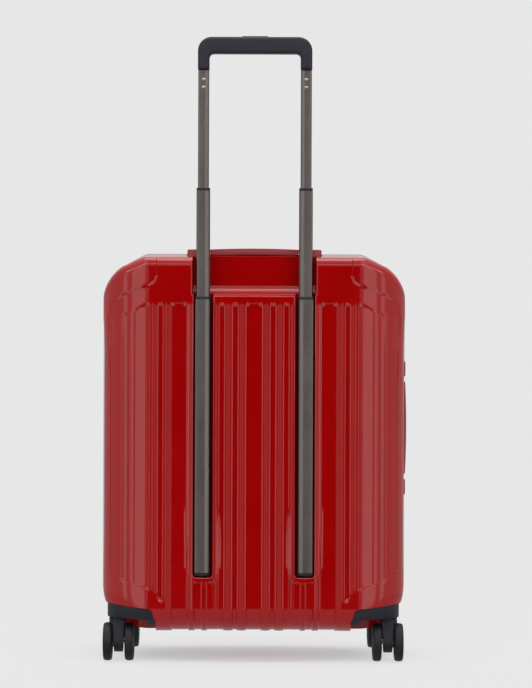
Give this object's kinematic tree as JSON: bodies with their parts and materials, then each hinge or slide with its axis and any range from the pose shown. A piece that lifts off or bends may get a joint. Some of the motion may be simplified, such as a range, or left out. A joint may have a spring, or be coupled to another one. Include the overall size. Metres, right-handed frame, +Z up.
{
  "type": "hard shell suitcase on wheels",
  "caption": "Ribbed hard shell cabin case with a telescopic trolley handle, swivelling twin-wheel casters, carry handles and a zip closing with a dial lock.",
  "frame": {"origin": "on the floor, under the middle of the case", "axes": "+Z up, -Y towards the trolley side, +X towards the side handle and lock"},
  "size_m": [0.4015, 0.2003, 0.8152],
  "materials": {
    "shell_red": "glossy deep red moulded polycarbonate with raised upright ribs",
    "tube_gunmetal": "satin gunmetal anodised aluminium tube",
    "grip_plastic": "satin dark blue-grey moulded grip",
    "dark_plastic": "satin dark grey moulded plastic",
    "handle_red": "satin deep red moulded carry handle",
    "wheel_rubber": "dull near-black wheel",
    "lining_fabric": "dark grey woven polyester lining",
    "zip_tape": "black woven zip tape with coil teeth",
    "zinc": "plated zinc and steel hardware"
  },
  "bodies": {
    "rear_case": {"rear_shell": "shell_red", "rear_lining": "lining_fabric", "rear_zip_half": "zip_tape", "hinge_tape": "lining_fabric", "left_outer_tube": "tube_gunmetal", "right_outer_tube": "tube_gunmetal", "left_lower_collar": "dark_plastic", "right_lower_collar": "dark_plastic", "left_tube_foot": "dark_plastic", "right_tube_foot": "dark_plastic", "rear_left_caster_bracket": "dark_plastic", "rear_right_caster_bracket": "dark_plastic", "top_handle_first_mount": "handle_red", "top_handle_second_mount": "handle_red", "side_handle_first_mount": "handle_red", "side_handle_second_mount": "handle_red"},
    "front_case": {"front_shell": "shell_red", "front_lining": "lining_fabric", "front_zip_half": "zip_tape", "front_left_caster_bracket": "dark_plastic", "front_right_caster_bracket": "dark_plastic", "lock_body": "dark_plastic", "lock_spindle": "zinc"},
    "trolley_middle": {"left_middle_tube": "tube_gunmetal", "right_middle_tube": "tube_gunmetal", "left_upper_collar": "dark_plastic", "right_upper_collar": "dark_plastic"},
    "trolley_upper": {"left_upper_tube": "tube_gunmetal", "right_upper_tube": "tube_gunmetal", "grip": "grip_plastic"},
    "grip_button": {"grip_button": "dark_plastic"},
    "top_handle": {"top_handle_grip": "handle_red"},
    "side_handle": {"side_handle_grip": "handle_red"},
    "lock_dial_1": {"lock_dial_1": "dark_plastic"},
    "lock_dial_2": {"lock_dial_2": "dark_plastic"},
    "lock_dial_3": {"lock_dial_3": "dark_plastic"},
    "lock_button": {"lock_button": "dark_plastic"},
    "key_cylinder": {"key_cylinder": "zinc"},
    "upper_zip_slider": {"upper_zip_slider": "zinc"},
    "lower_zip_slider": {"lower_zip_slider": "zinc"},
    "upper_zip_pull": {"upper_zip_pull": "zinc"},
    "lower_zip_pull": {"lower_zip_pull": "zinc"},
    "rear_left_fork": {"rear_left_caster_fork": "dark_plastic", "rear_left_caster_axle": "zinc"},
    "rear_left_inner_wheel": {"rear_left_inner_wheel": "wheel_rubber"},
    "rear_left_outer_wheel": {"rear_left_outer_wheel": "wheel_rubber"},
    "rear_right_fork": {"rear_right_caster_fork": "dark_plastic", "rear_right_caster_axle": "zinc"},
    "rear_right_inner_wheel": {"rear_right_inner_wheel": "wheel_rubber"},
    "rear_right_outer_wheel": {"rear_right_outer_wheel": "wheel_rubber"},
    "front_left_fork": {"front_left_caster_fork": "dark_plastic", "front_left_caster_axle": "zinc"},
    "front_left_inner_wheel": {"front_left_inner_wheel": "wheel_rubber"},
    "front_left_outer_wheel": {"front_left_outer_wheel": "wheel_rubber"},
    "front_right_fork": {"front_right_caster_fork": "dark_plastic", "front_right_caster_axle": "zinc"},
    "front_right_inner_wheel": {"front_right_inner_wheel": "wheel_rubber"},
    "front_right_outer_wheel": {"front_right_outer_wheel": "wheel_rubber"}
  },
  "joints": [
    {"name": "case_hinge", "type": "hinge", "parent": "rear_case", "child": "front_case", "pos_m": [-0.2, 0, 0.285], "axis": [0, 0, 1], "range_deg": [0, 180]},
    {"name": "middle_stage_slide", "type": "slide", "parent": "rear_case", "child": "trolley_middle", "axis": [0, 0, 1], "range_m": [-0.138, 0.09]},
    {"name": "upper_stage_slide", "type": "slide", "parent": "trolley_middle", "child": "trolley_upper", "axis": [0, 0, 1], "range_m": [-0.1435, 0.09]},
    {"name": "grip_button_press", "type": "slide", "parent": "trolley_upper", "child": "grip_button", "axis": [0, 0, 1], "range_m": [-0.003, 0], "stiffness_N_per_m": 400, "springref_m": 0.001},
    {"name": "top_handle_lift", "type": "slide", "parent": "rear_case", "child": "top_handle", "axis": [0, 0, 1], "range_m": [0, 0.006]},
    {"name": "side_handle_pull", "type": "slide", "parent": "rear_case", "child": "side_handle", "axis": [1, 0, 0], "range_m": [0, 0.006], "stiffness_N_per_m": 300, "springref_m": -0.002},
    {"name": "lock_dial_1_turn", "type": "hinge", "parent": "front_case", "child": "lock_dial_1", "pos_m": [0.1925, 0.034, 0.305], "axis": [0, 0, 1], "continuous": true},
    {"name": "lock_dial_2_turn", "type": "hinge", "parent": "front_case", "child": "lock_dial_2", "pos_m": [0.1925, 0.034, 0.315], "axis": [0, 0, 1], "continuous": true},
    {"name": "lock_dial_3_turn", "type": "hinge", "parent": "front_case", "child": "lock_dial_3", "pos_m": [0.1925, 0.034, 0.325], "axis": [0, 0, 1], "continuous": true},
    {"name": "lock_button_press", "type": "slide", "parent": "front_case", "child": "lock_button", "axis": [1, 0, 0], "range_m": [-0.0015, 0], "stiffness_N_per_m": 200, "springref_m": 0.001},
    {"name": "key_cylinder_turn", "type": "hinge", "parent": "front_case", "child": "key_cylinder", "pos_m": [0.193, 0.034, 0.2765], "axis": [1, 0, 0], "range_deg": [0, 90]},
    {"name": "upper_zip_slide", "type": "slide", "parent": "rear_case", "child": "upper_zip_slider", "axis": [0, 0, 1], "range_m": [0, 0.125]},
    {"name": "lower_zip_slide", "type": "slide", "parent": "rear_case", "child": "lower_zip_slider", "axis": [0, 0, 1], "range_m": [-0.18, 0]},
    {"name": "upper_pull_swing", "type": "hinge", "parent": "upper_zip_slider", "child": "upper_zip_pull", "pos_m": [0.2007, 0, 0.334], "axis": [0, -1, 0], "range_deg": [0, 160]},
    {"name": "lower_pull_swing", "type": "hinge", "parent": "lower_zip_slider", "child": "lower_zip_pull", "pos_m": [0.2007, 0, 0.286], "axis": [0, -1, 0], "range_deg": [0, 160]},
    {"name": "rear_left_swivel", "type": "hinge", "parent": "rear_case", "child": "rear_left_fork", "pos_m": [-0.176, -0.0625, 0.06], "axis": [0, 0, 1], "continuous": true},
    {"name": "rear_left_inner_spin", "type": "hinge", "parent": "rear_left_fork", "child": "rear_left_inner_wheel", "pos_m": [-0.176, -0.073, 0.025], "axis": [1, 0, 0], "continuous": true},
    {"name": "rear_left_outer_spin", "type": "hinge", "parent": "rear_left_fork", "child": "rear_left_outer_wheel", "pos_m": [-0.176, -0.073, 0.025], "axis": [1, 0, 0], "continuous": true},
    {"name": "rear_right_swivel", "type": "hinge", "parent": "rear_case", "child": "rear_right_fork", "pos_m": [0.176, -0.0625, 0.06], "axis": [0, 0, 1], "continuous": true},
    {"name": "rear_right_inner_spin", "type": "hinge", "parent": "rear_right_fork", "child": "rear_right_inner_wheel", "pos_m": [0.176, -0.073, 0.025], "axis": [1, 0, 0], "continuous": true},
    {"name": "rear_right_outer_spin", "type": "hinge", "parent": "rear_right_fork", "child": "rear_right_outer_wheel", "pos_m": [0.176, -0.073, 0.025], "axis": [1, 0, 0], "continuous": true},
    {"name": "front_left_swivel", "type": "hinge", "parent": "front_case", "child": "front_left_fork", "pos_m": [-0.176, 0.0625, 0.06], "axis": [0, 0, 1], "continuous": true},
    {"name": "front_left_inner_spin", "type": "hinge", "parent": "front_left_fork", "child": "front_left_inner_wheel", "pos_m": [-0.176, 0.073, 0.025], "axis": [1, 0, 0], "continuous": true},
    {"name": "front_left_outer_spin", "type": "hinge", "parent": "front_left_fork", "child": "front_left_outer_wheel", "pos_m": [-0.176, 0.073, 0.025], "axis": [1, 0, 0], "continuous": true},
    {"name": "front_right_swivel", "type": "hinge", "parent": "front_case", "child": "front_right_fork", "pos_m": [0.176, 0.0625, 0.06], "axis": [0, 0, 1], "continuous": true},
    {"name": "front_right_inner_spin", "type": "hinge", "parent": "front_right_fork", "child": "front_right_inner_wheel", "pos_m": [0.176, 0.073, 0.025], "axis": [1, 0, 0], "continuous": true},
    {"name": "front_right_outer_spin", "type": "hinge", "parent": "front_right_fork", "child": "front_right_outer_wheel", "pos_m": [0.176, 0.073, 0.025], "axis": [1, 0, 0], "continuous": true}
  ]
}
